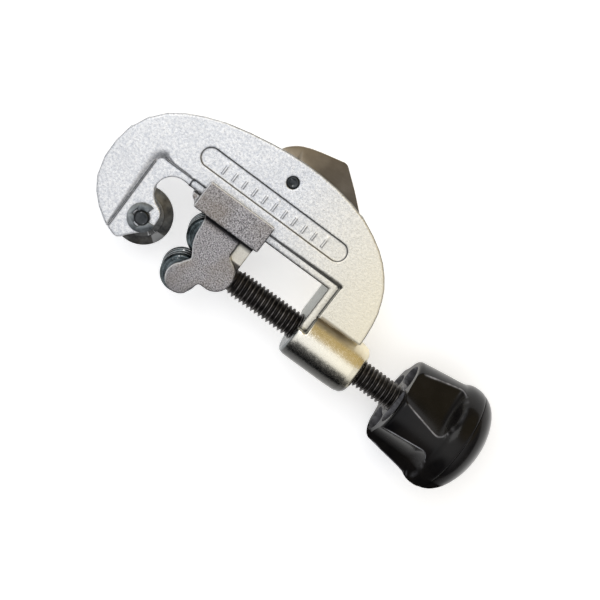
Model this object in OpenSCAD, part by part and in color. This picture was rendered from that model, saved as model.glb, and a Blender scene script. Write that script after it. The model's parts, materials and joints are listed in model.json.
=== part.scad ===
// Screw-feed tube cutter with a folding reamer.
// Origin: the cutting point, where the wheel edge meets the screw axis.
// +X runs along the feed screw to the knob, +Y to the spine, +Z out of the front flank.

/* [Frame] */
// Thickness of the spine
spine_thickness = 16; // [12:0.5:20]
// Thickness of the two jaw cheeks together with the wheel slot
jaw_thickness = 13; // [10:0.5:15]
// Thickness of the rail that guides the slide
rail_thickness = 11.2; // [10:0.2:14]
// Lower face of the rail, above the screw axis
rail_low = 17.25; // [15:0.05:19]
// Upper face of the rail, above the screw axis
rail_high = 20.1; // [19:0.1:22]
// Inner face of the rear wall of the window
wall_x = 53.1; // [45:0.1:56]
// Radius of the threaded boss
boss_r = 9.6; // [7:0.1:10]
// Rear end of the boss
boss_end = 78.2; // [70:0.1:82]

/* [Wheel] */
// Radius of the cutter wheel
wheel_r = 10; // [8:0.1:11]
// Width of the hub of the cutter wheel
wheel_hub_w = 4.8; // [3:0.1:5]
// Width of the slot the wheel runs in
wheel_slot_w = 5.3; // [4:0.1:6]
// Radius of the wheel pin
wheel_pin_r = 2.5; // [2:0.1:3]

/* [Rollers] */
// Radius of the two support rollers
roller_r = 6.6; // [5:0.1:7.2]
// Distance of the rollers from the screw axis
roller_y = 7.3; // [6:0.1:8]
// Rollers ahead of the cutting point when the slide is drawn as modelled
roller_x = 10.6; // [8:0.1:14]
// Length of the rollers
roller_len = 15.4; // [12:0.1:16]
// Radius of the roller pins
roller_pin_r = 1.9; // [1.5:0.1:2.5]

/* [Feed screw] */
// Major diameter of the thread
thread_d = 9.525; // [8:0.005:12]
// Pitch of the thread
thread_pitch = 1.5875; // [1:0.0125:2]
// Front end of the threaded length
thread_start = 27.2; // [26:0.1:30]

/* [Knob] */
// Front face of the knob
knob_x = 94; // [90:0.5:100]
// Radius of the knob at its front face
knob_front_r = 15.8; // [13:0.1:17]
// Radius of the round flange
knob_flange_r = 19.6; // [17:0.1:21]
// Number of grip lands
knob_lands = 4; // [3:1:8]

/* [Reamer] */
// Thickness of the reamer blade
blade_t = 2; // [1.5:0.1:3]
// Width of the slot the blade folds into
blade_slot_w = 2.7; // [2:0.1:4]
// Radius of the reamer pin
reamer_pin_r = 2.1; // [1.5:0.1:3]

/* [Hidden] */
$fn = 64;
eps = 0.01;
big = 200;
run = 0.06;
apart = 0.3;
wheel_x = -wheel_r;
half_spine = spine_thickness / 2;
half_jaw = jaw_thickness / 2;
half_rail = rail_thickness / 2;
thread_r = thread_d / 2;
root_r = thread_r - 0.6134 * thread_pitch;
slide_half = 10.85;
cheek_half = 10;
roller_half = roller_len / 2;
cheek_in = roller_half + 0.15;
saddle_x0 = 0.8;
saddle_x1 = 26.5;
saddle_low = 13.4;
saddle_high = 23.4;
socket_r = 4;
neck_r = 3.9;
neck_x0 = 19.4;
groove_x = 22;
groove_w = 2.2;
groove_r = 2.9;
cross_r = 0.95;
ball_r = 1.6;
shank_end = 112;
knob_rear = 118.6;
dome_x = 127.6;
pivot = [22.3, 38.5];
pocket_r = 12.6;
pocket_x = 114.3;
clip_t = 0.8;
land_turn = 8;
flute_floor = 13.4;
flute_r = 17.2;
wall_t = 2.7;
boss_drop = 0.4;
boss_start = 52.4;
wall_foot = 1.2;
core_r = 6.2;
core_half = 8;

// Points on an arc from angle a to angle b.
function arc(c, r, a, b, n = 12) =
    [for (i = [0 : n]) [c[0] + r * cos(a + (b - a) * i / n), c[1] + r * sin(a + (b - a) * i / n)]];

// Turn a profile of [radius, x] points about the screw axis.
module turned(points) {
    rotate([0, 90, 0])
        rotate_extrude()
            polygon(points);
}

module plate(points, half) {
    translate([0, 0, -half])
        linear_extrude(2 * half)
            polygon(points);
}

// Back of the tool, from the shoulder over the boss round to the jaw.
back_line = [[72.6, 8.6], [72.4, 12], [71.9, 16.4], [71, 20.6], [69.4, 24.8], [67.6, 28.4], [65, 31.8],
    [62, 34.9], [58.5, 37.6], [54, 40.2], [48.5, 42.7], [41.9, 44.5], [35.1, 45.6], [28.8, 46],
    [22.7, 46], [16.5, 45.6], [9.8, 44.7], [1.7, 43.2], [-6.4, 41.2], [-12.9, 38.7], [-18.6, 35.8],
    [-23.5, 32.2], [-27.7, 27.1], [-30.4, 21.2], [-31.4, 15], [-31.3, 9], [-29.6, 2.6], [-27, -1.6],
    [-23.4, -5.2], [-19.6, -7.8], [-16.6, -9.4], [-14.6, -10.1], [-13, -10.2]];

// Roller side of the jaw, from its lower tip up into the throat.
jaw_line = concat([[-11.9, -9.4], [-10.8, -7.8], [-9, -5.9], [-7.2, -4], [-5.7, -1.8], [-5, 0.6],
    [-5.2, 3.2], [-5.8, 4.7], [-7.2, 5.7], [-9.2, 6.6], [-11, 8.2], [-12.3, 10.4]],
    arc([-6.4, 11.6], 6, 182, 92));

module spine() {
    plate(concat(back_line, jaw_line, [[-4, rail_low + 0.3], [-4, rail_high],
        [wall_x + wall_t, rail_high], [wall_x + wall_t, 8]]), half_spine);
}

// Everything of the jaw outside its thinner cheeks.
module jaw_recess(side) {
    translate([-17.3, -20, side > 0 ? half_jaw : -half_jaw - 5])
        cube([14, 20 + rail_high, 5]);
}

module rail() {
    difference() {
        translate([-4.2, 0, -half_rail])
            cube([wall_x + wall_t + 4.2, rail_high + eps, 2 * half_rail]);
        translate([-5, -1, -big / 2])
            cube([wall_x + 5, rail_low + 1, big]);
    }
}

// The boss is slightly barrel shaped, with its front and back cut level with the rail above the screw.
module boss() {
    difference() {
        translate([0, -boss_drop, 0])
            turned([[0, boss_start], [boss_r - 1.3, boss_start], [boss_r - 0.5, boss_start + 0.5],
                [boss_r - 0.1, boss_start + 1.8], [boss_r, boss_start + 5], [boss_r, boss_end - 7],
                [boss_r - 0.2, boss_end - 3], [boss_r - 0.7, boss_end - 1], [boss_r - 1.6, boss_end],
                [0, boss_end]]);
        for (s = [-1, 1])
            translate([boss_start - 1, wall_foot, s > 0 ? half_rail : -half_rail - 6])
                cube([wall_x + wall_t - boss_start + 1, 20, 6]);
        translate([boss_start - 1, wall_foot, -big / 2])
            cube([wall_x - boss_start + 1, 20, big]);
    }
}

module label_recess(side) {
    translate([0, 0, side * half_spine])
        for (x = [-3.6, 47.4])
            translate([x, 29.2, -0.4])
                cylinder(r = 3.4, h = 0.8);
    translate([-3.6, 25.8, side * half_spine - 0.4])
        cube([51, 6.8, 0.8]);
}

// Raised dimension ticks on the floor of the label recess.
module label_marks(side) {
    for (i = [0 : 10])
        translate([2 + 4 * i, 27.2, side > 0 ? half_spine - 0.4 - eps : 0.2 - half_spine])
            cube([0.6, i % 5 == 0 ? 4 : 2.6, 0.2 + eps]);
}

module reamer_slot() {
    translate([0, 0, -blade_slot_w / 2]) {
        translate([6.4, 33.4, 0])
            cube([51, 20, blade_slot_w]);
        translate([pivot[0], pivot[1], 0])
            cylinder(r = 13.8, h = blade_slot_w);
    }
}

module frame() {
    color("silver") {
        difference() {
            union() {
                difference() {
                    spine();
                    jaw_recess(1);
                    jaw_recess(-1);
                    label_recess(1);
                }
                rail();
                boss();
                label_marks(1);
            }
            rotate([0, 90, 0])
                translate([0, 0, 40])
                    cylinder(r = thread_r + run, h = 60);
            translate([wheel_x, 0, -wheel_slot_w / 2])
                cylinder(r = wheel_r + 0.8, h = wheel_slot_w);
            translate([wheel_x, 0, -big / 2])
                cylinder(r = wheel_pin_r, h = big);
            reamer_slot();
            translate([pivot[0], pivot[1], -big / 2])
                cylinder(r = reamer_pin_r, h = big);
        }
    }
}

module wheel_body(x, y, z) {
    translate([x, y, z])
        rotate_extrude()
            polygon([[wheel_pin_r + run, -wheel_hub_w / 2], [4.6, -wheel_hub_w / 2], [5.2, -1.7],
                [7, -1.5], [wheel_r - 0.1, -0.12], [wheel_r, 0], [wheel_r - 0.1, 0.12], [7, 1.5],
                [5.2, 1.7], [4.6, wheel_hub_w / 2], [wheel_pin_r + run, wheel_hub_w / 2]]);
}

module cutter_wheel() {
    color("dimgray")
        wheel_body(wheel_x, 0, 0);
}

module wheel_pin() {
    color("dimgray")
        translate([wheel_x, 0, 0])
            rotate_extrude()
                polygon([[0, -half_jaw - 1.3], [3.6, -half_jaw - 1.3], [4, -half_jaw - 0.9],
                    [4, -half_jaw], [wheel_pin_r, -half_jaw], [wheel_pin_r, half_jaw + 0.1],
                    [2.05, half_jaw + 0.1], [2.05, half_jaw + 0.1 + clip_t],
                    [wheel_pin_r, half_jaw + 0.1 + clip_t], [wheel_pin_r, half_jaw + 1.7],
                    [2.1, half_jaw + 2.1], [0, half_jaw + 2.1]]);
}

module wheel_pin_clip() {
    color("black")
        translate([wheel_x, 0, half_jaw + 0.1])
            linear_extrude(clip_t)
                difference() {
                    circle(r = 4.9);
                    circle(r = 2.05);
                    for (a = [173, 263])
                        rotate(a)
                            translate([2.7, 0])
                                scale(1)
                                    circle(r = 0.95);
                    rotate(38)
                        translate([0, -2.05])
                            square([6, 4.1]);
                    rotate(38)
                        polygon([[0.6, 0], [5.2, 4.1], [5.2, -4.1]]);
                }
}

cheek_line = concat([[5.9, saddle_low + 1], [6.6, 10.5], [7, 6.5], [8, 3.4], [9.4, 1.2], [10.6, -0.8], [8.8, -3.2]],
    arc([11.6, -8.1], 5.2, 128, 320, 20), [[17.4, -6.2]],
    arc([19.8, 0], 6.3, -80, 70, 14), [[20.2, 7.2],
    [20.2, saddle_low + 1]]);

// Middle of the slide, behind the rollers, with the socket for the screw.
core_line = concat([[17.5, saddle_low + eps], [17.5, -5.7]], arc([19.8, 0], core_r, -80, -12, 8), [[25.2, 1.4],
    [25.2, saddle_low + eps]]);

module slide_block() {
    translate([saddle_x0, saddle_low, -slide_half])
        cube([saddle_x1 - saddle_x0, saddle_high - saddle_low, 2 * slide_half]);
    plate([[-1.6, 16.9], [-1.2, 15.4], [2, saddle_low], [saddle_x0 + 4, saddle_low], [saddle_x0 + 4, 16.9]], 6.4);
}

module slide_body() {
    color("gray")
        difference() {
            union() {
                difference() {
                    slide_block();
                    translate([-20, rail_low - 0.25, -half_jaw - 0.25])
                        cube([70, 20, jaw_thickness + 0.5]);
                    translate([-20, rail_high - 0.35, -half_spine - 0.15])
                        cube([70, 20, spine_thickness + 0.3]);
                }
                difference() {
                    plate(cheek_line, cheek_half);
                    translate([-20, -20, -cheek_in])
                        cube([37.5, 40, 2 * cheek_in]);
                }
                plate(core_line, core_half);
                translate([19.8, 0, 0])
                    sphere(r = core_r);
            }
            rotate([0, 90, 0])
                translate([0, 0, neck_x0 - 0.1])
                    cylinder(r = socket_r, h = 20);
            translate([neck_x0 - 0.9, 0, 0])
                sphere(r = ball_r + 0.02);
            for (s = [-1, 1]) {
                translate([roller_x, s * roller_y, -cheek_in])
                    cylinder(r = roller_r + 0.35, h = 2 * cheek_in);
                translate([roller_x, s * roller_y, -9.4])
                    cylinder(r = roller_pin_r, h = 18.8);
                translate([groove_x + groove_w / 2, s * (groove_r + 0.05 + cross_r), -7])
                    cylinder(r = cross_r, h = 14, $fn = 32);
            }
        }
}

module roller(y) {
    translate([roller_x, y, 0])
        rotate_extrude()
            polygon([[roller_pin_r + run, -roller_half], [roller_r - 0.5, -roller_half],
                [roller_r, -roller_half + 0.5], [roller_r, -5.4], [roller_r - 0.9, -4.9],
                [roller_r - 0.9, -3.6], [roller_r, -3.1], [roller_r, -1.5], [roller_r - 0.3, -1.2],
                [roller_r - 2.1, -0.9], [roller_r - 2.1, 0.9], [roller_r - 0.3, 1.2], [roller_r, 1.5],
                [roller_r, 3.1], [roller_r - 0.9, 3.6], [roller_r - 0.9, 4.9], [roller_r, 5.4],
                [roller_r, roller_half - 0.5], [roller_r - 0.5, roller_half],
                [roller_pin_r + run, roller_half]]);
}

module upper_roller() {
    color("slategray")
        roller(roller_y);
}

module lower_roller() {
    color("slategray")
        roller(-roller_y);
}

module roller_pin(y) {
    translate([roller_x, y, -9.4])
        cylinder(r = roller_pin_r, h = 18.8);
}

module upper_roller_pin() {
    color("dimgray")
        roller_pin(roller_y);
}

module lower_roller_pin() {
    color("dimgray")
        roller_pin(-roller_y);
}

thread_count = floor((knob_x - thread_start) / thread_pitch);
thread_points = [for (i = [0 : thread_count - 1], k = [0 : 3])
    [[root_r, 0.1], [thread_r, 0.44], [thread_r, 0.56], [root_r, 0.9]][k][0] * [1, 0]
    + [0, thread_start + thread_pitch * (i + [0.1, 0.44, 0.56, 0.9][k])]];

module feed_screw() {
    color("black")
        difference() {
            turned(concat([[0, neck_x0], [neck_r - 0.5, neck_x0], [neck_r, neck_x0 + 0.5],
                [neck_r, groove_x - 0.1], [groove_r, groove_x - 0.1], [groove_r, groove_x + groove_w + 0.1],
                [neck_r, groove_x + groove_w + 0.1], [neck_r, 26.2], [root_r, 26.4]], thread_points,
                [[root_r, thread_start + thread_pitch * thread_count + 0.2], [root_r, shank_end],
                [0, shank_end]]));
            translate([neck_x0 - 0.9, 0, 0])
                sphere(r = ball_r);
            translate([104, 0, -6])
                cylinder(r = 1.5, h = 12);
        }
}

module thrust_ball() {
    color("lightgray")
        translate([neck_x0 - 0.9, 0, 0])
            sphere(r = ball_r - 0.03);
}

module screw_retaining_pins() {
    color("dimgray")
        for (s = [-1, 1])
            translate([groove_x + groove_w / 2, s * (groove_r + 0.05 + cross_r), -6.9])
                cylinder(r = cross_r, h = 13.8, $fn = 32);
}

module knob() {
    color("black")
        difference() {
            turned([[0, knob_x], [knob_front_r - 1.6, knob_x], [knob_front_r - 0.5, knob_x + 0.6],
                [knob_front_r, knob_x + 1.6], [18.3, 112], [19.2, 113.2], [knob_flange_r, 115],
                [knob_flange_r, 117], [19.2, knob_rear], [0, knob_rear]]);
            for (i = [0 : knob_lands - 1])
                rotate([land_turn + i * 360 / knob_lands, 0, 0]) {
                    rotate([180 / knob_lands, 0, 0])
                        translate([knob_x - 1, 0, flute_floor + flute_r])
                            rotate([0, 90, 0])
                                cylinder(r = flute_r, h = 19.6);
                    translate([knob_x - 1, 0, 9.6])
                        rotate([0, 90, 0])
                            for (s = [-1, 0, 1])
                                translate([0, s * 2.6, 0])
                                    cylinder(r = 3.2, h = 10, $fn = 40);
                }
            rotate([0, 90, 0])
                translate([0, 0, knob_x - 1])
                    cylinder(r = root_r, h = shank_end - knob_x + 1 + eps);
            rotate([0, 90, 0])
                translate([0, 0, pocket_x])
                    cylinder(r = pocket_r, h = 10);
            rotate([0, 90, 0])
                translate([0, 0, shank_end - eps])
                    cylinder(r = 2.2, h = 10);
            translate([104, 0, -9])
                cylinder(r = 1.5, h = 18);
        }
}

module knob_roll_pin() {
    color("gray")
        translate([104, 0, -8.5])
            difference() {
                cylinder(r = 1.5, h = 17);
                translate([0, 0, -1])
                    cylinder(r = 0.8, h = 20);
            }
}

module spare_wheel() {
    color("dimgray")
        translate([pocket_x + 0.2 + wheel_hub_w / 2, 0, 0])
            rotate([0, 90, 0])
                wheel_body(0, 0, 0);
}

module knob_end_cap() {
    color("black")
        turned([[0, 124.6], [9, 124.6], [10.9, 122], [10.9, pocket_x + 1.2], [pocket_r, pocket_x + 1.2],
            [pocket_r, knob_rear], [19.1, knob_rear], [18.6, 120.4], [17.3, 122.4], [15.4, 124.2],
            [12.6, 126], [9.6, 127.2], [8, dome_x], [0, dome_x]]);
}

blade_line = concat([[53, 37.2], [47.8, 42], [40.8, 48]],
    arc([33, 51], 2.4, 52, 106, 6), [[24.8, 51.5], [18.8, 49.5], [15.8, 47.5], [13.6, 44.9], [14.2, 41],
    [16.4, 37]], arc(pivot, 4.6, 220, 275, 6), [[52.2, 36.2]]);

module reamer_blade() {
    color("tan")
        difference() {
            plate(blade_line, blade_t / 2);
            translate([pivot[0], pivot[1], -5])
                cylinder(r = reamer_pin_r + run, h = 10);
        }
}

module reamer_pin() {
    color("dimgray")
        translate([pivot[0], pivot[1], -half_spine + 0.2])
            cylinder(r = reamer_pin_r, h = spine_thickness - 0.4);
}

module reamer_washers() {
    color("gray")
        for (z = [-blade_slot_w / 2 + 0.02, blade_t / 2 + 0.02])
            translate([pivot[0], pivot[1], z])
                difference() {
                    cylinder(r = 4, h = (blade_slot_w - blade_t) / 2 - 0.04);
                    translate([0, 0, -1])
                        cylinder(r = reamer_pin_r + run, h = 4);
                }
}

frame();
cutter_wheel();
wheel_pin();
wheel_pin_clip();
slide_body();
upper_roller();
lower_roller();
upper_roller_pin();
lower_roller_pin();
feed_screw();
thrust_ball();
screw_retaining_pins();
knob();
knob_roll_pin();
spare_wheel();
knob_end_cap();
reamer_blade();
reamer_pin();
reamer_washers();
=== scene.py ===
import json
import math

import bmesh
import bpy
import numpy as np
from mathutils import Matrix, Vector


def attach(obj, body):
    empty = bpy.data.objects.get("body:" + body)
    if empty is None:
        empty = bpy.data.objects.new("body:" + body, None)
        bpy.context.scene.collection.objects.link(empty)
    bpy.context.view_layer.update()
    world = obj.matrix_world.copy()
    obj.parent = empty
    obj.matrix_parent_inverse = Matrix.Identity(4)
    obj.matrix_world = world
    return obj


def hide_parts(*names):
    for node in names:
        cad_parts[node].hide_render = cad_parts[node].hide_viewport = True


MM = 0.001

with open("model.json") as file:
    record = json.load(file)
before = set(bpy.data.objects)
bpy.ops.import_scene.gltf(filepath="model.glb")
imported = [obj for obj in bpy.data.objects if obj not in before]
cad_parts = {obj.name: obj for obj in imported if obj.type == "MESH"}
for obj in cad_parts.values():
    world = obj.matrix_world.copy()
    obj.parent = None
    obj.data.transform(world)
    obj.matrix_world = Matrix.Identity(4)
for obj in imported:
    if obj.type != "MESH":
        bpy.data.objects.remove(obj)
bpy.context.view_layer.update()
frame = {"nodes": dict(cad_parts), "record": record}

# ---------------------------------------------------------------- dimensions, in mm
# cutting wheel and rollers
WHEEL = (-10.0, 0.0)
WHEEL_R = 10.0
WHEEL_HALF = 2.4
WHEEL_BORE = 2.56
ROLLER_X, ROLLER_Y, ROLLER_R = 10.6, 7.3, 6.6
ROLLER_HALF = 7.7
# feed screw
THREAD_R, THREAD_PITCH = 4.7625, 1.5875
THREAD_ROOT = THREAD_R - 0.6134 * THREAD_PITCH
THREAD_START, THREAD_END = 26.6, 95.0
NECK_START = 19.4
SHANK_END = 112.0
# knob: front face, widest radius, seam and far end, and the turn of its lands in degrees
KNOB_X = 94.0
KNOB_R = 19.6
KNOB_SEAM = 118.6
KNOB_END = 127.6
LAND_TURN = 8
# reamer
PIVOT = (22.3, 38.5)
# frame: half thicknesses, rail, rear wall of the window, recessed cheek of the jaw, boss
HALF_SPINE = 8.0
HALF_JAW = 6.5
HALF_RAIL = 5.6
RAIL_HIGH = 20.1
WALL = (53.1, 55.8)
CHEEK_X = -17.3
BOSS_R, BOSS_DROP = 9.6, 0.4
BOSS_START, BOSS_END = 52.4, 78.2
LABEL_ENDS, LABEL_Y, LABEL_R = (-3.6, 47.4), 29.2, 3.35
SPARE_WHEEL_X = 116.9
# outlines of the spine's back and of the jaw
BACK_LINE = [(72.6, 8.6), (72.4, 12), (71.9, 16.4), (71, 20.6), (69.4, 24.8), (67.6, 28.4), (65, 31.8),
             (62, 34.9), (58.5, 37.6), (54, 40.2), (48.5, 42.7), (41.9, 44.5), (35.1, 45.6),
             (28.8, 46), (22.7, 46), (16.5, 45.6), (9.8, 44.7), (1.7, 43.2), (-6.4, 41.2),
             (-12.9, 38.7), (-18.6, 35.8), (-23.5, 32.2), (-27.7, 27.1), (-30.4, 21.2), (-31.4, 15),
             (-31.3, 9), (-29.6, 2.6), (-27, -1.6), (-23.4, -5.2), (-19.6, -7.8), (-16.6, -9.4),
             (-14.6, -10.1), (-13, -10.2)]
JAW_LINE = [(-19.6, -7.8), (-16.6, -9.4), (-14.6, -10.1), (-13, -10.2), (-11.9, -9.4), (-10.8, -7.8),
            (-9, -5.9), (-7.2, -4), (-5.7, -1.8), (-5, 0.6), (-5.2, 3.2), (-5.8, 4.7), (-7.2, 5.7),
            (-9.2, 6.6), (-11, 8.2), (-12.3, 10.4), (-12.4, 11.6), (-11.8, 14.1), (-10.2, 16.2),
            (-8.2, 17.3), (-6.4, 17.6), (-4.0, 17.5)]


# ---------------------------------------------------------------- mesh helpers
def new_object(name, verts_mm, faces, smooth=True):
    mesh = bpy.data.meshes.new(name)
    mesh.from_pydata([tuple(c * MM for c in v) for v in verts_mm], [], faces)
    mesh.update()
    if smooth:
        mesh.shade_smooth()
    obj = bpy.data.objects.new(name, mesh)
    bpy.context.collection.objects.link(obj)
    return obj


def recalc(obj):
    bm = bmesh.new()
    bm.from_mesh(obj.data)
    bmesh.ops.recalc_face_normals(bm, faces=bm.faces)
    bm.to_mesh(obj.data)
    bm.free()


def apply_modifiers(obj):
    depsgraph = bpy.context.evaluated_depsgraph_get()
    mesh = bpy.data.meshes.new_from_object(obj.evaluated_get(depsgraph))
    old = obj.data
    obj.modifiers.clear()
    obj.data = mesh
    bpy.data.meshes.remove(old)


def rounded(points, default=0.25, steps=4):
    """Round the corners of a closed profile. A point may carry its own radius as a third value."""
    out = []
    n = len(points)
    for i, point in enumerate(points):
        p = np.array(point[:2], float)
        radius = point[2] if len(point) > 2 else default
        a = np.array(points[i - 1][:2], float) - p
        b = np.array(points[(i + 1) % n][:2], float) - p
        la, lb = np.linalg.norm(a), np.linalg.norm(b)
        if radius <= 0 or la < 1e-6 or lb < 1e-6:
            out.append(tuple(p))
            continue
        a, b = a / la, b / lb
        angle = math.acos(max(-1, min(1, float(a @ b))))
        if angle > math.pi - 0.12:
            out.append(tuple(p))
            continue
        cut = min(radius / math.tan(angle / 2), la * 0.45, lb * 0.45)
        p0, p1 = p + a * cut, p + b * cut
        for k in range(steps + 1):
            t = k / steps
            out.append(tuple((1 - t) ** 2 * p0 + 2 * t * (1 - t) * p + t**2 * p1))
    return out


def round_faces(rows, segments, closed=False):
    """Faces between rows of points round an axis. Open rows get a flat face at each end."""
    faces = []
    for i in range(rows if closed else rows - 1):
        j = (i + 1) % rows
        for k in range(segments):
            k2 = (k + 1) % segments
            faces.append((i * segments + k, i * segments + k2, j * segments + k2, j * segments + k))
    if not closed:
        faces.append(tuple(range(segments)))
        faces.append(tuple(range((rows - 1) * segments, rows * segments)))
    return faces


def turned(name, points, axis, centre, segments, closed):
    verts = []
    for r, h in points:
        for k in range(segments):
            a = 2 * math.pi * k / segments
            c, s = r * math.cos(a), r * math.sin(a)
            x, y, z = (h, c, s) if axis == "X" else (c, s, h)
            verts.append((x + centre[0], y + centre[1], z + centre[2]))
    obj = new_object(name, verts, round_faces(len(points), segments, closed))
    recalc(obj)
    return obj


def lathe(name, profile, axis="X", centre=(0, 0, 0), segments=128, corner=0.25):
    """Turn an open profile of (radius, distance) points about an axis. Its ends close on the axis."""
    points = rounded([(0.0, profile[0][1], 0)] + list(profile) + [(0.0, profile[-1][1], 0)], corner)
    points = [p for p in points if p[0] > 1e-6]
    return turned(name, points, axis, centre, segments, False)


def ring(name, profile, axis="Z", centre=(0, 0, 0), segments=128, corner=0.2):
    """Turn a closed profile of (radius, distance) points: a piece with a bore."""
    return turned(name, rounded(profile, corner), axis, centre, segments, True)


def prism(name, outline, z0, z1):
    n = len(outline)
    verts = [(x, y, z0) for x, y in outline] + [(x, y, z1) for x, y in outline]
    faces = [tuple(range(n - 1, -1, -1)), tuple(range(n, 2 * n))]
    faces += [(i, (i + 1) % n, n + (i + 1) % n, n + i) for i in range(n)]
    obj = new_object(name, verts, faces, smooth=False)
    recalc(obj)
    return obj


def arc(cx, cy, r, a0, a1, n=16):
    return [(cx + r * math.cos(math.radians(a0 + (a1 - a0) * i / n)),
             cy + r * math.sin(math.radians(a0 + (a1 - a0) * i / n))) for i in range(n + 1)]


def boolean(target, tool, operation):
    mod = target.modifiers.new("cut", "BOOLEAN")
    mod.object = tool
    mod.operation = operation
    mod.solver = "EXACT"
    apply_modifiers(target)
    bpy.data.objects.remove(tool, do_unlink=True)


def skin(obj, voxel):
    """Turn a hard-edged solid into one fine, even skin."""
    mod = obj.modifiers.new("remesh", "REMESH")
    mod.mode = "VOXEL"
    mod.voxel_size = voxel * MM
    mod.use_smooth_shade = True
    apply_modifiers(obj)


def soften(obj, passes):
    """Give a skin the soft edges of a casting."""
    mod = obj.modifiers.new("soften", "SMOOTH")
    mod.factor = 0.5
    mod.iterations = passes
    apply_modifiers(obj)
    obj.data.shade_smooth()


def bevel(obj, width, segments, angle):
    """Break the edges sharper than an angle in degrees."""
    mod = obj.modifiers.new("bevel", "BEVEL")
    mod.width = width * MM
    mod.segments = segments
    mod.limit_method = "ANGLE"
    mod.angle_limit = math.radians(angle)
    mod.harden_normals = True
    apply_modifiers(obj)
    obj.data.shade_smooth()


def copy_of(node, name):
    """A new object with a welded copy of a CAD node's mesh."""
    obj = bpy.data.objects.new(name, frame["nodes"][node].data.copy())
    obj.data.materials.clear()
    bpy.context.collection.objects.link(obj)
    bm = bmesh.new()
    bm.from_mesh(obj.data)
    bmesh.ops.remove_doubles(bm, verts=bm.verts, dist=1e-7)
    bm.to_mesh(obj.data)
    bm.free()
    return obj


def place(obj, node, body, material):
    """Let a made piece stand for a node, move with its body and take its material."""
    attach(obj, body)
    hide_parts(node)
    obj.data.materials.clear()
    obj.data.materials.append(material)


# ---------------------------------------------------------------- materials
class Nodes:
    """A short way to write a material's node tree."""

    def __init__(self, name):
        self.material = bpy.data.materials.new(name)
        self.material.use_nodes = True
        self.tree = self.material.node_tree
        self.shader = self.tree.nodes["Principled BSDF"]
        self.tex = self.add("ShaderNodeTexCoord")
        self.coords = self.tex.outputs["Object"]

    def add(self, kind, inputs=None, **settings):
        node = self.tree.nodes.new(kind)
        for key, value in settings.items():
            setattr(node, key, value)
        for key, value in (inputs or {}).items():
            if hasattr(value, "is_output"):
                self.tree.links.new(value, node.inputs[key])
            else:
                node.inputs[key].default_value = value
        return node

    def noise(self, scale, detail=4.0, roughness=0.6, coords=None):
        node = self.add("ShaderNodeTexNoise", {"Vector": coords or self.coords, "Scale": scale,
                                                "Detail": detail, "Roughness": roughness})
        return node.outputs["Fac"]

    def ramp(self, value, low, high, to_low=0.0, to_high=1.0):
        node = self.add("ShaderNodeMapRange", {"Value": value, "From Min": low, "From Max": high,
                                                "To Min": to_low, "To Max": to_high})
        return node.outputs["Result"]

    def mix(self, fac, a, b, blend="MIX"):
        node = self.add("ShaderNodeMix", data_type="RGBA", blend_type=blend)
        for key, value in ((0, fac), (6, a), (7, b)):
            if hasattr(value, "is_output"):
                self.tree.links.new(value, node.inputs[key])
            else:
                node.inputs[key].default_value = value
        return node.outputs[2]

    def math(self, operation, a, b=0.0):
        node = self.add("ShaderNodeMath", operation=operation)
        for key, value in ((0, a), (1, b)):
            if hasattr(value, "is_output"):
                self.tree.links.new(value, node.inputs[key])
            else:
                node.inputs[key].default_value = value
        return node.outputs[0]

    def times(self, first, *others):
        """The product of several masks."""
        for other in others:
            first = self.math("MULTIPLY", first, other)
        return first

    def size(self, value):
        return self.math("ABSOLUTE", value)

    def axis(self, name):
        return self.add("ShaderNodeSeparateXYZ", {0: self.coords}).outputs[name]

    def place_mm(self):
        """The three coordinates of a point, in mm."""
        return [self.math("MULTIPLY", self.axis(name), 1000) for name in "XYZ"]

    def normal_axis(self, name):
        return self.add("ShaderNodeSeparateXYZ", {0: self.tex.outputs["Normal"]}).outputs[name]

    def bump(self, height, strength, distance, normal=None):
        node = self.add("ShaderNodeBump", {"Height": height, "Strength": strength, "Distance": distance})
        if normal is not None:
            self.tree.links.new(normal, node.inputs["Normal"])
        return node.outputs["Normal"]

    def pointiness(self):
        return self.add("ShaderNodeNewGeometry").outputs["Pointiness"]

    # 1 on convex edges: wear on most pieces, and the painted highlight on the slide's edges
    def edge_wear_and_highlight(self, low=0.52, high=0.6):
        return self.ramp(self.pointiness(), low, high)

    def label_line(self):
        """1 on a fine line round the label, which is a rounded slot about a middle line."""
        x, y, z = self.place_mm()
        nearest = self.math("MINIMUM", self.math("MAXIMUM", x, LABEL_ENDS[0]), LABEL_ENDS[1])
        dx, dy = self.math("SUBTRACT", x, nearest), self.math("SUBTRACT", y, LABEL_Y)
        away = self.math("SQRT", self.math("ADD", self.times(dx, dx), self.times(dy, dy)))
        line = self.ramp(self.size(self.math("SUBTRACT", away, LABEL_R)), 0.26, 0.12)
        return self.times(line, self.math("GREATER_THAN", z, HALF_SPINE - 1))

    def label_ticks(self):
        """1 on the rims of the raised marks in the label."""
        pitch, half_width = 4.0, 0.36
        x, y, z = self.place_mm()
        phase = self.math("MODULO", self.math("ADD", x, 3.7), pitch)
        phase = self.size(self.math("SUBTRACT", phase, pitch / 2))
        rim = self.ramp(self.size(self.math("SUBTRACT", phase, half_width)), 0.22, 0.10)
        across = self.times(self.ramp(y, 30.1, 29.9), self.math("GREATER_THAN", y, 27.0))
        along = self.times(self.math("GREATER_THAN", x, 0.3), self.math("LESS_THAN", x, 44.3))
        return self.times(rim, across, along, self.math("GREATER_THAN", z, HALF_SPINE - 1))

    def set(self, **inputs):
        for key, value in inputs.items():
            socket = self.shader.inputs[key.replace("_", " ")]
            if hasattr(value, "is_output"):
                self.tree.links.new(value, socket)
            else:
                socket.default_value = value
        return self.material


def rgb(r, g, b):
    return (r, g, b, 1.0)


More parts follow.
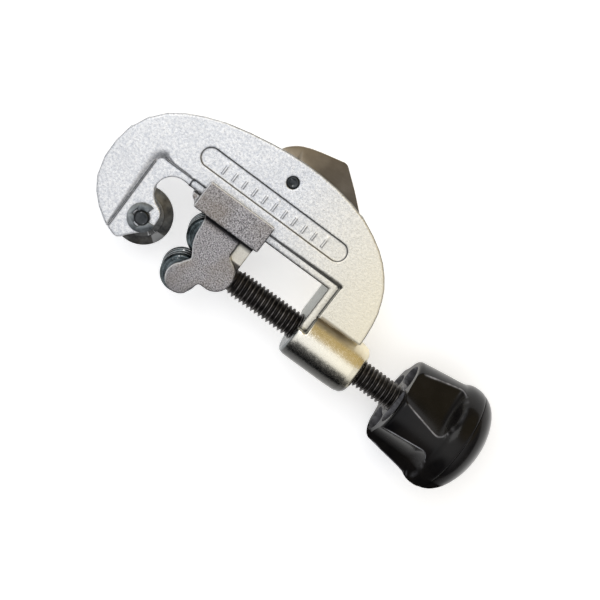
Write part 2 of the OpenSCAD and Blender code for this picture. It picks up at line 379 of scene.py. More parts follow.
def cast_alloy():
    """Blasted zinc casting, greyer at the jaw and warmer at the boss, with a polished boss; painted shade in
    its corners, on its rims and on the boss.
    """
    m = Nodes("cast_alloy")
    grain = m.noise(2600, 3, 0.7)
    mottle = m.noise(1150, 3, 0.65)
    cloud = m.noise(60, 3, 0.5)
    x, y, z = m.place_mm()
    # the turned boss below the flank and below the rear wall
    wall_back = WALL[1] + 0.2
    boss = m.times(m.ramp(x, wall_back, wall_back + 0.6), m.ramp(y, 9.4, 8.8))
    low_boss = m.times(m.ramp(x, 51.5, 52.5), m.ramp(y, 1.4, 0.9))
    boss = m.math("MAXIMUM", boss, low_boss)
    plain = m.math("SUBTRACT", 1.0, boss)
    # the skin: fine mottle, soft clouds, dark pits, and a warm tone towards the boss
    base = m.mix(m.ramp(mottle, 0.36, 0.64), rgb(0.60, 0.62, 0.655), rgb(0.98, 0.985, 0.99))
    base = m.mix(m.ramp(cloud, 0.4, 0.7, 0.0, 0.25), base, rgb(0.62, 0.635, 0.66))
    pits = m.times(m.ramp(grain, 0.53, 0.68), m.ramp(x, -5, 30, 0.5, 0.85), m.ramp(boss, 0.0, 1.0, 1.0, 0.25))
    base = m.mix(pits, base, rgb(0.30, 0.31, 0.33))
    base = m.mix(m.ramp(x, 26, 76, 0.0, 0.85), base, rgb(0.96, 0.88, 0.66))
    base = m.mix(m.times(m.edge_wear_and_highlight(0.53, 0.60), 0.4), base, rgb(0.93, 0.93, 0.93))
    # painted shade in the corners, and along the rim of the label
    dirt_and_shade = m.times(m.ramp(m.pointiness(), 0.490, 0.465, 0.0, 0.85), plain)
    base = m.mix(dirt_and_shade, base, rgb(0.05, 0.05, 0.055))
    base = m.mix(m.times(m.label_line(), 0.92), base, rgb(0.09, 0.09, 0.095))
    base = m.mix(m.times(m.label_ticks(), 0.75), base, rgb(0.16, 0.16, 0.165))
    # painted shade on the rounded rims, weaker in the recessed cheek of the jaw, and on the sides
    tilt = m.size(m.normal_axis("Z"))
    rims = m.times(m.ramp(tilt, 0.86, 0.62, 0.0, 0.8), m.ramp(tilt, 0.12, 0.3))
    recess = m.times(m.ramp(x, -4, -6), m.math("LESS_THAN", m.size(z), HALF_SPINE - 0.15))
    rims = m.times(rims, m.ramp(recess, 0.0, 1.0, 1.0, 0.22), plain)
    base = m.mix(rims, base, rgb(0.07, 0.072, 0.078))
    base = m.mix(m.times(m.ramp(tilt, 0.3, 0.12, 0.0, 0.55), plain), base, rgb(0.30, 0.345, 0.37))
    # painted reflection and shade on the boss: a painted dark reflection below, painted shade in grey on its
    # front face, and painted shade in brown where it meets the flank
    under = m.times(m.ramp(y, -2.8, -5.8), boss, m.ramp(y, -9.9, -9.2, 0.35, 1.0), 0.95)
    base = m.mix(under, base, rgb(0.035, 0.037, 0.04))
    base = m.mix(m.times(m.ramp(x, 53.4, 52.8), boss, 0.9), base, rgb(0.20, 0.215, 0.22))
    shade = m.times(m.ramp(y, 5.0, 7.4), boss, m.ramp(x, 73.5, 66, 0.0, 0.9))
    base = m.mix(shade, base, rgb(0.47, 0.40, 0.28))
    # the boss is smoother and glossier, apart from the part next to the flank
    rough = m.ramp(mottle, 0.3, 0.7, 0.40, 0.58)
    rough = m.math("SUBTRACT", rough, m.times(boss, m.ramp(y, 5.0, 6.8, 0.25, -0.05)))
    height = m.math("ADD", m.times(grain, 0.6), mottle)
    fade = m.math("SUBTRACT", 1.0, m.times(boss, m.ramp(y, 6.0, 7.4, 0.72, 0.93)))
    normal = m.bump(m.times(height, fade), 0.5, 0.00022)
    return m.set(Base_Color=base, Roughness=rough, Normal=normal, Metallic=1.0)


def slide_casting():
    """Coarse grey casting with painted highlights on its upper rims and edges, painted shade on the lower
    rims and in its corners, and a painted shadow under its block.
    """
    m = Nodes("slide_casting")
    grain = m.noise(3600, 3, 0.75)
    mottle = m.noise(2100, 3, 0.7)
    cloud = m.noise(90, 3, 0.5)
    x, y, z = m.place_mm()
    base = m.mix(m.ramp(mottle, 0.38, 0.62), rgb(0.13, 0.127, 0.135), rgb(0.74, 0.72, 0.745))
    base = m.mix(m.ramp(cloud, 0.42, 0.65, 0.0, 0.45), base, rgb(0.33, 0.28, 0.22))
    base = m.mix(m.ramp(grain, 0.52, 0.66, 0.0, 0.6), base, rgb(0.07, 0.067, 0.072))
    # painted highlight on the edges
    base = m.mix(m.times(m.edge_wear_and_highlight(0.515, 0.56), 0.9), base, rgb(0.95, 0.95, 0.96))
    # painted shade in the corners
    base = m.mix(m.ramp(m.pointiness(), 0.488, 0.455, 0.0, 0.92), base, rgb(0.02, 0.02, 0.022))
    # painted highlight on the rounded rims that face the light, painted shade on those that face away
    tilt = m.size(m.normal_axis("Z"))
    rim = m.times(m.ramp(tilt, 0.975, 0.85), m.ramp(tilt, 0.15, 0.35))
    lit = m.math("ADD", m.times(m.normal_axis("X"), -0.75), m.times(m.normal_axis("Y"), 0.66))
    base = m.mix(m.times(rim, m.ramp(lit, -0.02, 0.2), 0.95), base, rgb(1.0, 1.0, 1.0))
    base = m.mix(m.times(rim, m.ramp(lit, -0.05, -0.35), 0.85), base, rgb(0.03, 0.03, 0.032))
    # the ground face behind the lobes, and a painted shadow on the neck below it
    behind = m.ramp(x, 20.3, 20.6)
    ground = m.times(behind, m.ramp(y, 6.2, 6.6), m.ramp(y, 12.8, 12.4), 0.8)
    base = m.mix(ground, base, rgb(0.92, 0.89, 0.80))
    neck = m.times(behind, m.ramp(y, 6.6, 6.0), m.math("LESS_THAN", m.size(z), 8.8), 0.85)
    base = m.mix(neck, base, rgb(0.05, 0.048, 0.045))
    # painted shadow under the block, and a greyer tone on the lower lobe
    block_shadow = m.times(m.ramp(y, 11.2, 12.6), m.ramp(y, 13.52, 13.46), 0.95)
    base = m.mix(block_shadow, base, rgb(0.01, 0.01, 0.012))
    lower = m.times(m.ramp(y, -4, -12), m.ramp(x, 24, 16), 0.35)
    base = m.mix(lower, base, rgb(0.20, 0.20, 0.215))
    rough = m.ramp(mottle, 0.3, 0.7, 0.32, 0.55)
    height = m.math("ADD", grain, m.times(mottle, 1.6))
    normal = m.bump(height, 0.6, 0.00026)
    return m.set(Base_Color=base, Roughness=rough, Normal=normal, Metallic=1.0)


def machined(name, dark, light, rough_low, rough_high, axis="Z", wear_and_highlight=0.5, tint=None, centre=(0, 0, 0)):
    """Turned or ground steel: fine rings round its own axis, stains and worn edges."""
    m = Nodes(name)
    sep = m.add("ShaderNodeSeparateXYZ", {0: m.coords})
    pair = {"Z": ("X", "Y"), "X": ("Y", "Z")}[axis]
    du = m.math("SUBTRACT", sep.outputs[pair[0]], centre["XYZ".index(pair[0])] * MM)
    dv = m.math("SUBTRACT", sep.outputs[pair[1]], centre["XYZ".index(pair[1])] * MM)
    radius = m.math("SQRT", m.math("ADD", m.times(du, du), m.times(dv, dv)))
    along = sep.outputs[axis]
    track = m.add("ShaderNodeCombineXYZ", {0: radius, 1: along}).outputs[0]
    rings = m.add("ShaderNodeTexNoise", {"Vector": track, "Scale": 9000, "Detail": 3}).outputs["Fac"]
    stain = m.noise(260, 4, 0.6)
    base = m.mix(m.ramp(stain, 0.35, 0.7), rgb(*dark), rgb(*light))
    if tint:
        base = m.mix(m.ramp(m.noise(120, 3, 0.5), 0.45, 0.7, 0.0, 0.6), base, rgb(*tint))
    base = m.mix(m.times(m.edge_wear_and_highlight(0.54, 0.64), wear_and_highlight), base, rgb(0.72, 0.72, 0.72))
    uneven = m.math("ADD", m.times(rings, 0.5), m.times(stain, 0.5))
    rough = m.ramp(uneven, 0.35, 0.65, rough_low, rough_high)
    normal = m.bump(rings, 0.12, 0.00004)
    return m.set(Base_Color=base, Roughness=rough, Normal=normal, Metallic=1.0)


def screw_steel():
    """Blackened steel, rubbed bright on the crests of the thread."""
    m = Nodes("screw_steel")
    sep = m.add("ShaderNodeSeparateXYZ", {0: m.coords})
    y, z = sep.outputs["Y"], sep.outputs["Z"]
    radius = m.math("SQRT", m.math("ADD", m.times(y, y), m.times(z, z)))
    crest = m.ramp(radius, (THREAD_R - 0.14) * MM, THREAD_R * MM)
    dirt_and_shade = m.noise(500, 4, 0.6)
    base = m.mix(m.ramp(dirt_and_shade, 0.35, 0.7), rgb(0.022, 0.02, 0.02), rgb(0.07, 0.062, 0.055))
    base = m.mix(m.times(crest, m.ramp(dirt_and_shade, 0.4, 0.75, 0.1, 0.7)), base, rgb(0.45, 0.43, 0.42))
    rough = m.ramp(dirt_and_shade, 0.3, 0.7, 0.28, 0.5)
    return m.set(Base_Color=base, Roughness=rough, Normal=m.bump(dirt_and_shade, 0.15, 0.00005), Metallic=0.85)


def knob_plastic():
    """Black moulding, duller below, with painted highlights along its ridges and round its pockets."""
    m = Nodes("knob_plastic")
    smear = m.noise(60, 4, 0.6)
    speck = m.noise(1500, 2, 0.5)
    base = m.mix(m.ramp(smear, 0.35, 0.7), rgb(0.003, 0.003, 0.0036), rgb(0.012, 0.0105, 0.0095))
    # painted highlights along the ridges and round the pocket rims
    wear_and_highlight = m.add("ShaderNodeAttribute", attribute_name="wear_and_highlight").outputs["Fac"]
    wear_and_highlight = m.times(wear_and_highlight, m.ramp(m.noise(350, 3, 0.6), 0.3, 0.65, 0.15, 0.85))
    base = m.mix(wear_and_highlight, base, rgb(0.52, 0.52, 0.56))
    rough = m.ramp(smear, 0.3, 0.75, 0.12, 0.26)
    gloss = m.ramp(m.axis("Y"), -13 * MM, -1 * MM, 0.0, 0.2)
    rough = m.math("ADD", rough, m.ramp(speck, 0.6, 0.8, 0.0, 0.15))
    normal = m.bump(m.math("ADD", m.noise(90, 3, 0.5), m.times(speck, 0.08)), 0.12, 0.0002)
    return m.set(Base_Color=base, Roughness=rough, Normal=normal, Specular_IOR_Level=gloss)


def blade_steel():
    """Brown ground steel, with its grinding lines along the blade."""
    m = Nodes("blade_steel")
    stretched = m.add("ShaderNodeMapping", {"Vector": m.coords, "Scale": (0.12, 1.0, 1.0)}).outputs[0]
    lines = m.noise(4200, 3, 0.6, coords=stretched)
    cloud = m.noise(75, 4, 0.55)
    base = m.mix(m.ramp(cloud, 0.32, 0.68), rgb(0.14, 0.115, 0.085), rgb(0.30, 0.26, 0.205))
    base = m.mix(m.ramp(m.axis("X"), 24 * MM, 44 * MM, 0.0, 0.55), base, rgb(0.15, 0.12, 0.085))
    base = m.mix(m.times(m.edge_wear_and_highlight(0.53, 0.6), 0.6), base, rgb(0.66, 0.62, 0.55))
    rough = m.ramp(lines, 0.3, 0.7, 0.34, 0.52)
    return m.set(Base_Color=base, Roughness=rough, Normal=m.bump(lines, 0.2, 0.00005), Metallic=1.0)


MATERIALS = {
    "cast_alloy": cast_alloy(),
    "slide_casting": slide_casting(),
    "wheel_steel": machined("wheel_steel", (0.055, 0.056, 0.056), (0.25, 0.25, 0.24), 0.42, 0.56,
                            wear_and_highlight=0.7, tint=(0.17, 0.145, 0.105), centre=(WHEEL[0], WHEEL[1], 0)),
    "pin_steel": machined("pin_steel", (0.025, 0.028, 0.03), (0.09, 0.095, 0.10), 0.32, 0.5, wear_and_highlight=0.35),
    "clip_steel": machined("clip_steel", (0.09, 0.10, 0.106), (0.27, 0.29, 0.30), 0.34, 0.55, wear_and_highlight=0.6),
    "roller_steel": machined("roller_steel", (0.03, 0.038, 0.041), (0.15, 0.18, 0.19), 0.2, 0.34, wear_and_highlight=0.6),
    "screw_steel": screw_steel(),
    "bright_steel": machined("bright_steel", (0.5, 0.5, 0.51), (0.68, 0.68, 0.69), 0.25, 0.42),
    "knob_plastic": knob_plastic(),
    "blade_steel": blade_steel(),
}


# ---------------------------------------------------------------- pieces
def depth_in_line(points, line):
    """Each point's gap to a line drawn anticlockwise, its depth inside it, and the way inwards."""
    best = np.full(len(points), 1e9)
    depth = np.zeros(len(points))
    inwards = np.zeros_like(points)
    for a, b in zip(line[:-1], line[1:]):
        a, b = np.array(a, float), np.array(b, float)
        t = np.clip(((points - a) @ (b - a)) / ((b - a) @ (b - a)), 0, 1)
        gap = np.linalg.norm(points - a - t[:, None] * (b - a), axis=1)
        side = np.array([a[1] - b[1], b[0] - a[0]]) / np.linalg.norm(b - a)
        better = gap < best
        best[better] = gap[better]
        depth[better] = ((points - a) @ side)[better]
        inwards[better] = side
    return best, depth, inwards


def round_outline(co, line, half, radius):
    """Move skin near the rim of a flat side on to a quarter round."""
    for side in (1, -1):
        z = co[:, 2] * side
        near = z > half - radius - 0.05
        gap, depth, inwards = depth_in_line(co[near, :2], line)
        u, w = radius - depth, z[near] - (half - radius)
        size = np.hypot(u, w)
        hit = (u > 0) & (w > 0) & (size > radius) & (z[near] < half + 0.2) & (gap < radius + 0.1)
        k = radius / np.maximum(size, 1e-9)
        pts = co[near]
        pts[hit, :2] += (inwards * (u - u * k)[:, None])[hit]
        pts[hit, 2] = side * (half - radius + (w * k)[hit])
        co[near] = pts


def draft_outline(co):
    """The back of the spine is drafted: it draws in a little from the front flank to the rear one."""
    gap, _, inwards = depth_in_line(co[:, :2], BACK_LINE)
    drawn = np.clip(1 - gap / 3, 0, 1) * np.clip((HALF_SPINE - co[:, 2]) / (2 * HALF_SPINE), 0, 1)
    # the draft grows as the side turns towards a point above the jaw
    slope, towards, most = 0.034, np.array([-25, 76]), 1.3
    facing = np.clip(-slope * ((towards - co[:, :2]) * inwards).sum(axis=1), 0, most)
    co[:, :2] += inwards * (drawn * facing * (co[:, 1] > 12))[:, None]


def shape_frame(co):
    """Casting details on the skin of the frame, in mm."""
    round_outline(co, BACK_LINE, HALF_SPINE, 0.7)
    round_outline(co, JAW_LINE, HALF_JAW, 0.6)
    draft_outline(co)
    round_cheek(co)
    slope_flank(co)
    bead_rail(co)
    draft_wall(co)


def round_cheek(co):
    """The thick rim rounds off towards the recessed cheeks of the jaw."""
    x, y, z = co[:, 0], co[:, 1], co[:, 2]
    size = np.abs(z)
    corner = 2.4
    px, py = CHEEK_X + corner - x, y - (RAIL_HIGH - corner)
    outside = np.where((px > 0) & (py > 0), np.hypot(px, py) - corner, np.maximum(px, py) - corner)
    along = np.clip((y + 8) / 28, 0, 1)
    width = np.where(px > 0, 0.9 + 2.2 * along, 0.35 + 1.6 * np.clip(1 + px / 3.0, 0, 1))
    lowered = HALF_SPINE - 1.42 * np.clip(1 - outside / width, 0, 1) ** 2
    rim = (outside > 0) & (outside < width) & (size > HALF_JAW - 0.2) & (x < -5) & (y < RAIL_HIGH + 4)
    fresh = np.where(px > 0, lowered, np.minimum(size, lowered))
    in_corner = (px > 0) & (py > 0) & (px < corner) & (py < corner)
    target = np.where(in_corner, lowered, np.minimum(size, fresh))
    z[rim] = (np.sign(z) * target)[rim]


def slope_flank(co):
    """The flank slopes down to the rail, more and more towards the rear wall."""
    x, y, z = co[:, 0], co[:, 1], co[:, 2]
    rise = np.interp(x, [-4, 26, 44, 53.5, WALL[1]], [0.2, 0.35, 0.9, 1.35, 1.1])
    share = np.clip((y - RAIL_HIGH) / rise, 0, 1)
    slope = (x > -4) & (x < WALL[1] + 0.1) & (np.abs(z) > HALF_JAW)
    slope &= (y > RAIL_HIGH - 0.1) & (y < RAIL_HIGH + rise)
    ease = HALF_SPINE - 1.5 * (1 - share) ** 1.3
    z[slope] = (np.sign(z) * np.minimum(np.abs(z), ease))[slope]


def bead_rail(co):
    """The rail and the rear wall are rounded across."""
    x, y, z = co[:, 0], co[:, 1], co[:, 2]
    middle_x, middle_y, half = sum(WALL) / 2, 18.7, 1.45
    across = np.hypot(x - np.clip(x, -2.6, middle_x), y - middle_y)
    across = np.minimum(across, np.hypot(x - middle_x, y - np.clip(y, 2.7, middle_y)))
    bead = (across < half + 0.3) & (np.abs(z) > HALF_RAIL - 0.3) & (np.abs(z) < HALF_RAIL + 0.3)
    z[bead] -= (np.sign(z) * 0.6 * np.clip(across / half, 0, 1.1) ** 4.0)[bead]


def draft_wall(co):
    """Draft on the rear wall of the window."""
    x, y, z = co[:, 0], co[:, 1], co[:, 2]
    draft = 1.3
    wall = (np.abs(x - WALL[0]) < 0.2) & (y > 1.0) & (y < 17.3) & (np.abs(z) < HALF_RAIL - 0.1)
    share = np.clip((HALF_RAIL - z) / (2 * HALF_RAIL), 0, 1) * np.clip((y - 1) / 4, 0, 1)
    x[wall] -= (draft * share)[wall]


def turn_boss(co):
    """The boss is turned, so its skin goes back to a true round, a little barrel-shaped."""
    x, y, z = co[:, 0], co[:, 1] + BOSS_DROP, co[:, 2]
    off = np.hypot(y, z)
    true = BOSS_R - 0.1 * np.maximum(0, 1 - (x - BOSS_START) / 5.0)
    true -= 0.05 * np.maximum(0, x - (BOSS_END - 7))
    behind_wall = (x > WALL[1] + 0.4) & (co[:, 1] < 8.5)
    below_wall = (x > BOSS_START + 2) & (co[:, 1] < 0.8)
    on = (behind_wall | below_wall) & (x < BOSS_END - 3) & (np.abs(off - true) < 0.3)
    k = np.where(on, true / off, 1.0)
    co[:, 1] = y * k - BOSS_DROP
    co[:, 2] = z * k


def reshape(obj, change):
    """Pass a mesh's points, in mm, through a function that moves them."""
    mesh = obj.data
    co = np.empty(len(mesh.vertices) * 3, np.float32)
    mesh.vertices.foreach_get("co", co)
    co = co.reshape(-1, 3).astype(float) / MM
    change(co)
    mesh.vertices.foreach_set("co", (co * MM).astype(np.float32).ravel())
    mesh.update()


def make_frame():
    """The CAD frame under a fine skin, with its casting details and a turned boss."""
    voxel, passes = 0.23, 6
    obj = copy_of("frame", "frame_casting")
    skin(obj, voxel)
    reshape(obj, shape_frame)
    soften(obj, passes)
    reshape(obj, turn_boss)
    return obj


def make_slide():
    """The CAD slide under a fine skin, softened until its edges are well rounded."""
    voxel, passes = 0.22, 45
    obj = copy_of("slide_body", "slide_casting")
    skin(obj, voxel)
    soften(obj, passes)
    return obj


def mirrored(side):
    """A closed profile from the points of one side and their mirror images."""
    return side + [(r, -h) + tuple(rest) for r, h, *rest in reversed(side)]


def make_wheel(name, centre, axis):
    """A cutting disc: a sharp edge, two bevels and a hub."""
    half, r = WHEEL_HALF, WHEEL_R
    side = [(WHEEL_BORE, half), (4.3, half), (4.6, half - 0.25), (5.0, 1.75), (6.9, 1.5), (7.1, 1.35),
            (r - 0.1, 0.1, 0.02)]
    profile = mirrored(side)
    profile.insert(len(side), (r, 0.0, 0.01))
    return ring(name, profile, axis, centre, 192, 0.18)


def make_roller(name, y):
    """A roller with a groove near each end, a waist in the middle and rings on its end faces."""
    h, r = ROLLER_HALF, ROLLER_R
    ends = [(1.96, h, 0.1), (4.7, h, 0.1), (4.85, h - 0.4, 0.1), (5.15, h - 0.4, 0.1), (5.3, h - 0.05, 0.1),
            (5.85, h - 0.1, 0.15), (r, h - 0.9, 0.35)]
    groove = [(r, 5.4, 0.3), (r - 0.9, 4.9, 0.4), (r - 0.9, 3.6, 0.4), (r, 3.1, 0.3)]
    waist = [(r, 1.5, 0.3), (r - 2.1, 0.9, 0.3)]
    return ring(name, mirrored(ends + groove + waist), "Z", (ROLLER_X, y, 0), 160)


def make_wheel_pin():
    """A pin with its head behind and the clip's groove in front."""
    profile = [(3.6, -7.8, 0.3), (4.0, -7.4, 0.2), (4.0, -6.5, 0.1), (2.5, -6.5, 0), (2.5, 6.6, 0.05),
               (2.05, 6.6, 0), (2.05, 7.4, 0), (2.5, 7.4, 0.05), (2.5, 8.1, 0.3), (2.0, 8.55, 0.25)]
    return lathe("wheel_pin_turned", profile, "Z", (WHEEL[0], WHEEL[1], 0), 96)


def make_clip():
    """The retaining clip, a stamped plate in the pin's groove."""
    obj = prism("wheel_clip", clip_outline(), 6.62, 7.42)
    bevel(obj, 0.14, 2, 40)
    return obj


def clip_outline():
    """E-clip seen from the front: outer arc, two horns, three inner lugs and two open bays."""
    def point(r, a):
        return (WHEEL[0] + r * math.cos(math.radians(a)), WHEEL[1] + r * math.sin(math.radians(a)))

    opening = 38
    outer = [point(4.9, opening + 36 + i * (360 - 72) / 60) for i in range(61)]
    inner = []
    for i in range(121):
        a = opening - 36 - i * (360 - 72) / 120
        rel = (a - opening) % 360
        bay = 0.0
        for middle in (135, 225):
            bay = max(bay, 1 - max(0.0, abs(rel - middle) - 17) / 9)
        inner.append(point(2.12 + 1.05 * max(0.0, min(1.0, bay)), a))
    return outer + inner


def make_screw():
    """Feed screw with a true right-hand helix between the neck and the knob."""
    segments, per_pitch = 96, 14
    neck = [(0, NECK_START, 0), (3.4, NECK_START, 0.2), (3.9, NECK_START + 0.5, 0.2), (3.9, 21.9, 0.05),
            (2.9, 21.9, 0), (2.9, 24.3, 0), (3.9, 24.3, 0.05), (3.9, 26.0, 0.1), (THREAD_ROOT, 26.2, 0.1),
            (0, 26.2, 0)]
    rows = [(x, r) for r, x in rounded(neck, 0.1)[1:-1] if r > 0.01]
    length = THREAD_END - THREAD_START
    steps = int(length / THREAD_PITCH * per_pitch)
    rows += [(THREAD_START + length * i / steps, None) for i in range(steps + 1)]
    rows += [(THREAD_END + 0.4, THREAD_ROOT), (SHANK_END, THREAD_ROOT)]
    verts = []
    for x, r in rows:
        for k in range(segments):
            a = 2 * math.pi * k / segments
            radius = thread_radius(x, k / segments) if r is None else r
            verts.append((x, radius * math.cos(a), radius * math.sin(a)))
    obj = new_object("feed_screw_threaded", verts, round_faces(len(rows), segments))
    recalc(obj)
    return obj


def thread_radius(x, turn):
    """Radius of the thread at a place along the screw and a share of a turn."""
    phase = (x / THREAD_PITCH - turn) % 1.0
    flank = abs(phase - 0.5) * 2
    ridge = min(1.0, max(0.0, (flank - 0.14) / 0.72))
    run_in = min(1.0, (x - THREAD_START) / 1.8, (THREAD_END - x) / 0.8)
    return THREAD_ROOT + (THREAD_R - THREAD_ROOT) * ridge * max(0.0, run_in)


def smooth_min(a, b, k):
    """The smaller of two surfaces, blended over a width k where they cross."""
    h = np.clip(0.5 + 0.5 * (b - a) / k, 0, 1)
    return b + (a - b) * h - k * h * (1 - h)


def knob_profile():
    """Radius and place of the knob's rows: front face, rounded corner, tapering side, rim, seam."""
    face_r, corner_r, side_r, side_end = 14.2, 15.8, 18.25, 111.6
    corner_x = KNOB_X + 1.8
    rows = [(THREAD_ROOT + 0.02, KNOB_X + 0.9)]
    rows += [(r, KNOB_X) for r in np.linspace(5.2, face_r, 60)]
    rows += [(face_r + (corner_r - face_r) * math.sin(a), KNOB_X + 1.8 * (1 - math.cos(a)))
             for a in np.linspace(0.1, 1.35, 10)]
    rows += [(corner_r + (side_r - corner_r) * t, corner_x + (side_end - corner_x) * t)
             for t in np.linspace(0.02, 1, 60)]
    rows += [(18.6, 112.3), (19.0, 113.0), (19.35, 113.9), (19.54, 114.8), (KNOB_R, 115.8), (KNOB_R, 116.8),
             (19.5, 117.6), (19.36, 118.2), (19.22, 118.46), (19.0, 118.56), (18.2, KNOB_SEAM - 0.02)]
    return np.array(rows)


def smooth_step(t):
    t = np.clip(t, 0, 1)
    return t * t * (3 - 2 * t)


def make_knob():
    """Four broad flutes, four tapering lands with an oval pocket in front of each, and a round rim."""
    segments = 512
    quarter = math.pi / 2
    rows = knob_profile()
    theta = np.arange(segments) * 2 * math.pi / segments
    r = np.repeat(rows[:, :1], segments, 1)
    x = np.repeat(rows[:, 1:], segments, 1)
    t = np.repeat(theta[None, :], len(rows), 0)
    turn = t - math.radians(LAND_TURN)
    # flutes half way between the lands: a round hollow that opens out and moves away towards the rim
    from_flute = (turn % quarter) - quarter / 2
    along = np.clip((x - KNOB_X) / (113.6 - KNOB_X), 0, 1)
    hollow_r = 17.2 + 22.8 * along
    centre = 30.6 + 22.6 * along
    inside = np.maximum(hollow_r**2 - (centre * np.sin(from_flute)) ** 2, 0)
    flute = centre * np.cos(from_flute) - np.sqrt(inside)
    is_open = centre * np.abs(np.sin(from_flute)) < hollow_r
    fade = smooth_step((x - 107.5) / 7.0)
    cut = np.where(is_open, flute, 99.0) + 7.5 * fade**2
    # where the painted highlight runs along the ridges
    ridge = np.exp(-(((cut - r) / 0.24) ** 2)) * (1 - fade) * np.clip((x - KNOB_X - 1.5) / 2, 0, 1)
    r = smooth_min(r, cut, 0.5)
    # pockets in the front face, centred on the lands
    from_land = ((turn + quarter / 2) % quarter) - quarter / 2
    edge = np.hypot((r - 9.8) / 3.7, r * from_land / 6.6)
    pocket = smooth_step((1.0 - edge) / 0.09)
    on_face = np.clip((15.0 - r) / 0.8, 0, 1) * (rows[:, 1:] < KNOB_X + 0.9)
    x = x + 8.0 * pocket * on_face
    ridge = np.maximum(ridge, 0.45 * np.exp(-(((edge - 1.0) / 0.04) ** 2)) * on_face)
    verts = np.stack([x, r * np.cos(t), r * np.sin(t)], -1).reshape(-1, 3)
    obj = new_object("knob_moulding", verts.tolist(), round_faces(len(rows), segments))
    recalc(obj)
    # the painted highlights along the ridges and round the pockets, kept on the points
    wear_and_highlight = obj.data.attributes.new("wear_and_highlight", "FLOAT", "POINT")
    wear_and_highlight.data.foreach_set("value", ridge.astype(np.float32).ravel())
    return obj


def make_end_cap():
    """The domed end of the knob, with a fine seam in front of it."""
    seam = [(18.3, KNOB_SEAM + 0.04), (18.9, 118.66), (19.08, 118.78), (19.05, 119.0), (18.9, 119.6)]
    dome = [(18.6, 120.35), (18.1, 121.3), (17.4, 122.25), (16.5, 123.2), (15.3, 124.2), (13.9, 125.1),
            (12.2, 126.0), (10.4, 126.75), (8.8, 127.25), (7.4, 127.5), (6.0, 127.58), (0.4, KNOB_END)]
    return lathe("knob_dome", [(r, x, 0.0) for r, x in seam + dome], segments=192, corner=0.0)


def make_reamer():
    """A flat blade: straight edges to its point, a rounded back and a boss about the pivot."""
    outline = [(53, 37.2), (47.8, 42), (40.8, 48)] + arc(33, 51, 2.4, 52, 106, 10)
    outline += [(24.8, 51.5), (21.6, 50.6), (18.8, 49.5), (17.2, 48.6), (15.8, 47.5), (14.5, 46.2),
                (13.6, 44.9), (13.6, 43), (14.2, 41), (16.4, 37)]
    outline += arc(PIVOT[0], PIVOT[1], 4.6, 220, 275, 8) + [(52.2, 36.2)]
    obj = prism("reamer_plate", outline, -1.0, 1.0)
    bore = prism("bore", arc(PIVOT[0], PIVOT[1], 2.16, 0, 354.375, 63), -3, 3)
    boolean(obj, bore, "DIFFERENCE")
    bevel(obj, 0.22, 2, 50)
    return obj


def make_reamer_pin():
    """The pivot of the blade: a rivet with a slight dome at each end."""
    profile = [(1.7, -7.8, 0.2), (2.1, -7.5, 0.15), (2.1, 7.5, 0.2), (1.5, 7.75, 0.3), (0.9, 7.55, 0.2)]
    return lathe("reamer_rivet", profile, "Z", (PIVOT[0], PIVOT[1], 0), 64)


def make_spare_wheel():
    """A second wheel, laid up in the knob behind the end cap."""
    return make_wheel("spare_wheel_turned", (SPARE_WHEEL_X, 0, 0), "X")


# made piece, the node it stands for, the body it moves with, its material slot
STAND_INS = [
    (make_frame(), "frame", "frame", "cast_alloy"),
    (make_slide(), "slide_body", "slide", "slide_casting"),
    (make_wheel("wheel_turned", (WHEEL[0], WHEEL[1], 0), "Z"), "cutter_wheel", "wheel", "wheel_steel"),
    (make_roller("upper_roller_turned", ROLLER_Y), "upper_roller", "upper_roller", "roller_steel"),
    (make_roller("lower_roller_turned", -ROLLER_Y), "lower_roller", "lower_roller", "roller_steel"),
    (make_wheel_pin(), "wheel_pin", "frame", "pin_steel"),
    (make_clip(), "wheel_pin_clip", "frame", "clip_steel"),
    (make_screw(), "feed_screw", "screw", "screw_steel"),
    (make_knob(), "knob", "screw", "knob_plastic"),
    (make_end_cap(), "knob_end_cap", "screw", "knob_plastic"),
    (make_reamer(), "reamer_blade", "reamer", "blade_steel"),
    (make_reamer_pin(), "reamer_pin", "frame", "pin_steel"),
    (make_spare_wheel(), "spare_wheel", "screw", "wheel_steel"),
]
for piece, node, body, slot in STAND_INS:
    place(piece, node, body, MATERIALS[slot])

for entry in frame["record"]["subparts"]:
    node = frame["nodes"][entry["node"]]
    node.data.materials.clear()
    node.data.materials.append(MATERIALS[entry["material_slot"]])


# ---------------------------------------------------------------- stage, light, camera
def make_floor():
    """A pale plain floor just under the knob, the lowest part of the tool as it lies."""
    level, half = -KNOB_R - 0.15, 3000
    corners = [(-half, -half, level), (half, -half, level), (half, half, level), (-half, half, level)]
    obj = new_object("floor", corners, [(0, 1, 2, 3)], smooth=False)
    m = Nodes("floor")
    tone = m.noise(4, 2, 0.5)
    m.set(Base_Color=m.mix(tone, rgb(0.93, 0.93, 0.93), rgb(0.97, 0.97, 0.97)), Roughness=0.9,
          Emission_Color=rgb(1, 1, 1), Emission_Strength=0.45)
    obj.data.materials.append(m.material)


def area_light(name, location, target, size, power, colour):
    data = bpy.data.lights.new(name, "AREA")
    data.shape = "RECTANGLE"
    data.size = size * MM
    data.size_y = size * MM
    data.energy = power
    data.color = colour
    obj = bpy.data.objects.new(name, data)
    obj.location = Vector(location) * MM
    direction = (Vector(target) - Vector(location)).normalized()
    obj.rotation_mode = "QUATERNION"
    obj.rotation_quaternion = direction.to_track_quat("-Z", "Y")
    bpy.context.collection.objects.link(obj)


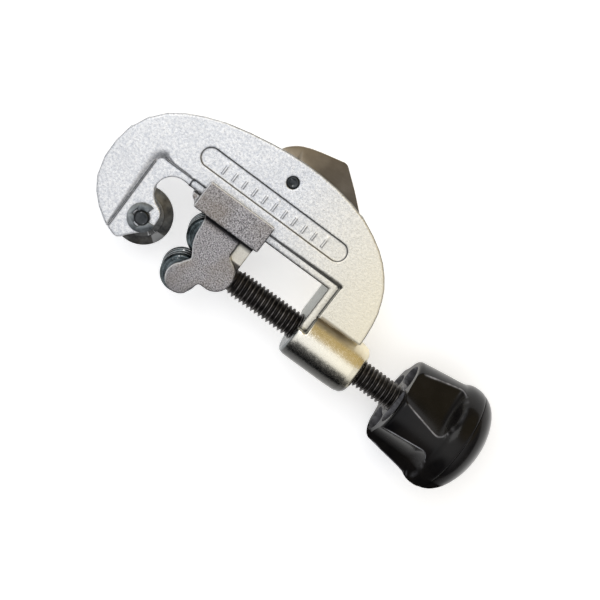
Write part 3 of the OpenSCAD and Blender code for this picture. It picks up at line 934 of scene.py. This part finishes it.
class WorldNodes(Nodes):
    """The same short way for the studio's surroundings, by direction."""

    def __init__(self, world):
        world.use_nodes = True
        self.tree = world.node_tree
        self.coords = self.add("ShaderNodeTexCoord").outputs["Generated"]

    def lobe(self, direction, start, full):
        """1 inside a cone round a direction, 0 outside it."""
        towards = tuple(Vector(direction).normalized())
        dot = self.add("ShaderNodeVectorMath", {0: self.coords, 1: towards}, operation="DOT_PRODUCT")
        limits = {"Value": dot.outputs["Value"], "From Min": start, "From Max": full}
        node = self.add("ShaderNodeMapRange", limits, interpolation_type="SMOOTHSTEP")
        return node.outputs["Result"]


def make_lights():
    """One soft light above the jaw, and surroundings that are white overhead and grey at the horizon."""
    area_light("key", (-150, 260, 560), (40, 10, 0), 360, 1.0, (1, 0.995, 0.98))
    world = bpy.data.worlds.new("studio")
    bpy.context.scene.world = world
    w = WorldNodes(world)
    height = w.axis("Z")
    tone = w.mix(w.ramp(height, 0.0, 0.35), rgb(0.10, 0.10, 0.10), rgb(0.24, 0.24, 0.25))
    tone = w.mix(w.ramp(height, 0.35, 0.75), tone, rgb(0.85, 0.86, 0.89))
    tone = w.mix(w.ramp(height, 0.75, 1.0), tone, rgb(1.08, 1.09, 1.12))
    # a dark card below the boss, and brown and golden ones above it
    cards = [((0.1, -0.86, 0.5), 0.80, 0.93, 0.9, rgb(0.015, 0.016, 0.02)),
             ((0.2, 1, 0.55), 0.62, 0.92, 0.85, rgb(0.34, 0.28, 0.17)),
             ((0.35, 0.72, 0.6), 0.80, 0.97, 0.8, rgb(0.54, 0.41, 0.18))]
    for direction, start, full, share, colour in cards:
        tone = w.mix(w.times(w.lobe(direction, start, full), share), tone, colour)
    background = w.tree.nodes["Background"]
    w.tree.links.new(tone, background.inputs["Color"])
    background.inputs["Strength"].default_value = 1.0
    bpy.context.scene.view_settings.view_transform = "Standard"
    bpy.context.scene.view_settings.look = "None"


def make_camera():
    """A long lens from well above the front flank."""
    data = bpy.data.cameras.new("camera")
    data.sensor_width = 36
    data.lens = 94.8
    data.clip_start = 0.01
    data.clip_end = 20
    obj = bpy.data.objects.new("camera", data)
    right = Vector((0.79712697, 0.60283377, 0.03435174)).normalized()
    back = Vector((-0.14065678, 0.1300621, 0.98147823)).normalized()
    up = back.cross(right).normalized()
    obj.matrix_world = Matrix((
        (right.x, up.x, back.x, -25.45 * MM),
        (right.y, up.y, back.y, 76.43 * MM),
        (right.z, up.z, back.z, 516.04 * MM),
        (0, 0, 0, 1),
    ))
    bpy.context.collection.objects.link(obj)
    bpy.context.scene.camera = obj


make_floor()
make_lights()
make_camera()
